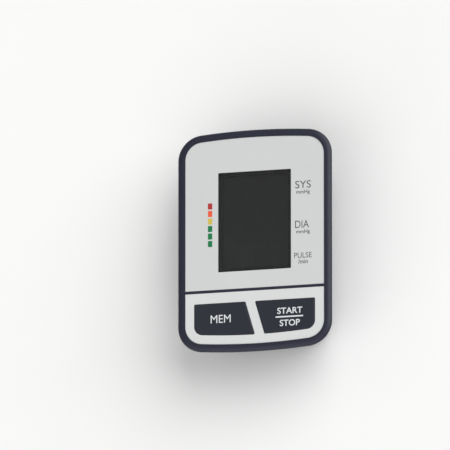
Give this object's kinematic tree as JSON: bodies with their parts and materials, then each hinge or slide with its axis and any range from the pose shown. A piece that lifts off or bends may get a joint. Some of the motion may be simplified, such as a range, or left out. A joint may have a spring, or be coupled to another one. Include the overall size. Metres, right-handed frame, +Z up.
{
  "type": "upper arm blood pressure monitor",
  "caption": "Portrait blood pressure monitor: dark tapered housing, pale front panels, display window, slanted keys, cuff air socket and battery bay.",
  "frame": {"origin": "on the table under the middle of the housing, with the monitor lying on its back on its rubber feet", "axes": "+X to the user's right, +Y from the keys towards the top of the display, +Z up out of the display"},
  "size_m": [0.0974, 0.14, 0.042],
  "materials": {
    "navy_plastic": "satin moulded, dark navy",
    "navy_key_plastic": "satin moulded, dark navy",
    "silver_plastic": "fine satin, light silver grey",
    "clear_acrylic": "clear, polished",
    "display_glass": "dark grey-green glass",
    "white_plastic": "moulded",
    "black_plastic": "moulded",
    "board_green": "solder mask",
    "silicone": "translucent silicone",
    "carbon_rubber": "matt",
    "foam": "closed-cell foam",
    "black_rubber": "matt",
    "steel": "plated",
    "spring_brass": "nickel-flashed",
    "cell_wrap": "printed film",
    "copper_winding": "enamelled wire",
    "chip_black": "epoxy",
    "lead_red": "insulation"
  },
  "bodies": {
    "housing": {"upper_shell": "navy_plastic", "lower_shell": "navy_plastic", "display_panel": "silver_plastic", "button_panel": "silver_plastic", "display_window": "clear_acrylic", "mem_key_dome": "silicone", "start_stop_key_dome": "silicone", "lcd_gasket": "foam", "lcd_glass": "display_glass", "lcd_holder": "white_plastic", "zebra_connectors": "carbon_rubber", "main_pcb": "board_green", "pcb_screws": "steel", "housing_screws": "steel", "rubber_feet": "black_rubber", "aa_cells": "cell_wrap", "battery_terminals": "spring_brass", "battery_links": "spring_brass", "battery_springs": "spring_brass", "pump_motor": "steel", "pump_motor_cap": "black_plastic", "pump_crankcase": "black_plastic", "pump_diaphragm": "black_rubber", "pump_valve_body": "white_plastic", "pump_cover": "black_plastic", "pump_mount_rings": "black_rubber", "pump_top_pad": "foam", "air_socket": "black_plastic", "air_manifold": "white_plastic", "socket_tube": "silicone", "pump_tube": "silicone", "sensor_tube": "silicone", "valve_tube": "silicone", "bleed_valve": "black_rubber", "valve_frame": "steel", "valve_coil": "copper_winding", "valve_spring": "steel", "valve_nozzle": "white_plastic", "dc_socket": "black_plastic", "dc_pin": "spring_brass", "controller_chip": "chip_black", "memory_chip": "chip_black", "reference_crystal": "steel", "storage_capacitor": "chip_black", "buzzer": "chip_black", "pressure_sensor": "white_plastic", "pump_leads": "lead_red", "valve_leads": "lead_red", "socket_leads": "lead_red"},
    "mem_key": {"mem_key": "navy_key_plastic", "mem_contact_pill": "carbon_rubber"},
    "start_stop_key": {"start_stop_key": "navy_key_plastic", "start_stop_contact_pill": "carbon_rubber"},
    "battery_cover": {"battery_cover": "navy_plastic"},
    "pump_rotor": {"pump_shaft": "steel", "pump_crank": "white_plastic", "pump_wobble_disc": "white_plastic"},
    "valve_plunger": {"valve_plunger": "steel", "valve_tip": "black_rubber"}
  },
  "joints": [
    {"name": "mem_key_press", "type": "slide", "parent": "housing", "child": "mem_key", "axis": [0, 0, -1], "range_m": [0, 0.001], "stiffness_N_per_m": 1500, "springref_m": -0.0003, "deforming": ["mem_key_dome"]},
    {"name": "start_stop_key_press", "type": "slide", "parent": "housing", "child": "start_stop_key", "axis": [0, 0, -1], "range_m": [0, 0.001], "stiffness_N_per_m": 1500, "springref_m": -0.0003, "deforming": ["start_stop_key_dome"]},
    {"name": "battery_cover_hinge", "type": "hinge", "parent": "housing", "child": "battery_cover", "pos_m": [0, -0.0311, 0.0012], "axis": [-1, 0, 0], "range_deg": [0, 60]},
    {"name": "pump_spin", "type": "hinge", "parent": "housing", "child": "pump_rotor", "pos_m": [0, -0.046, 0.01615], "axis": [1, 0, 0], "continuous": true},
    {"name": "valve_close", "type": "slide", "parent": "housing", "child": "valve_plunger", "axis": [0, 0, 1], "range_m": [0, 0.0008], "stiffness_N_per_m": 300, "springref_m": -0.0005, "deforming": ["valve_spring"]}
  ]
}
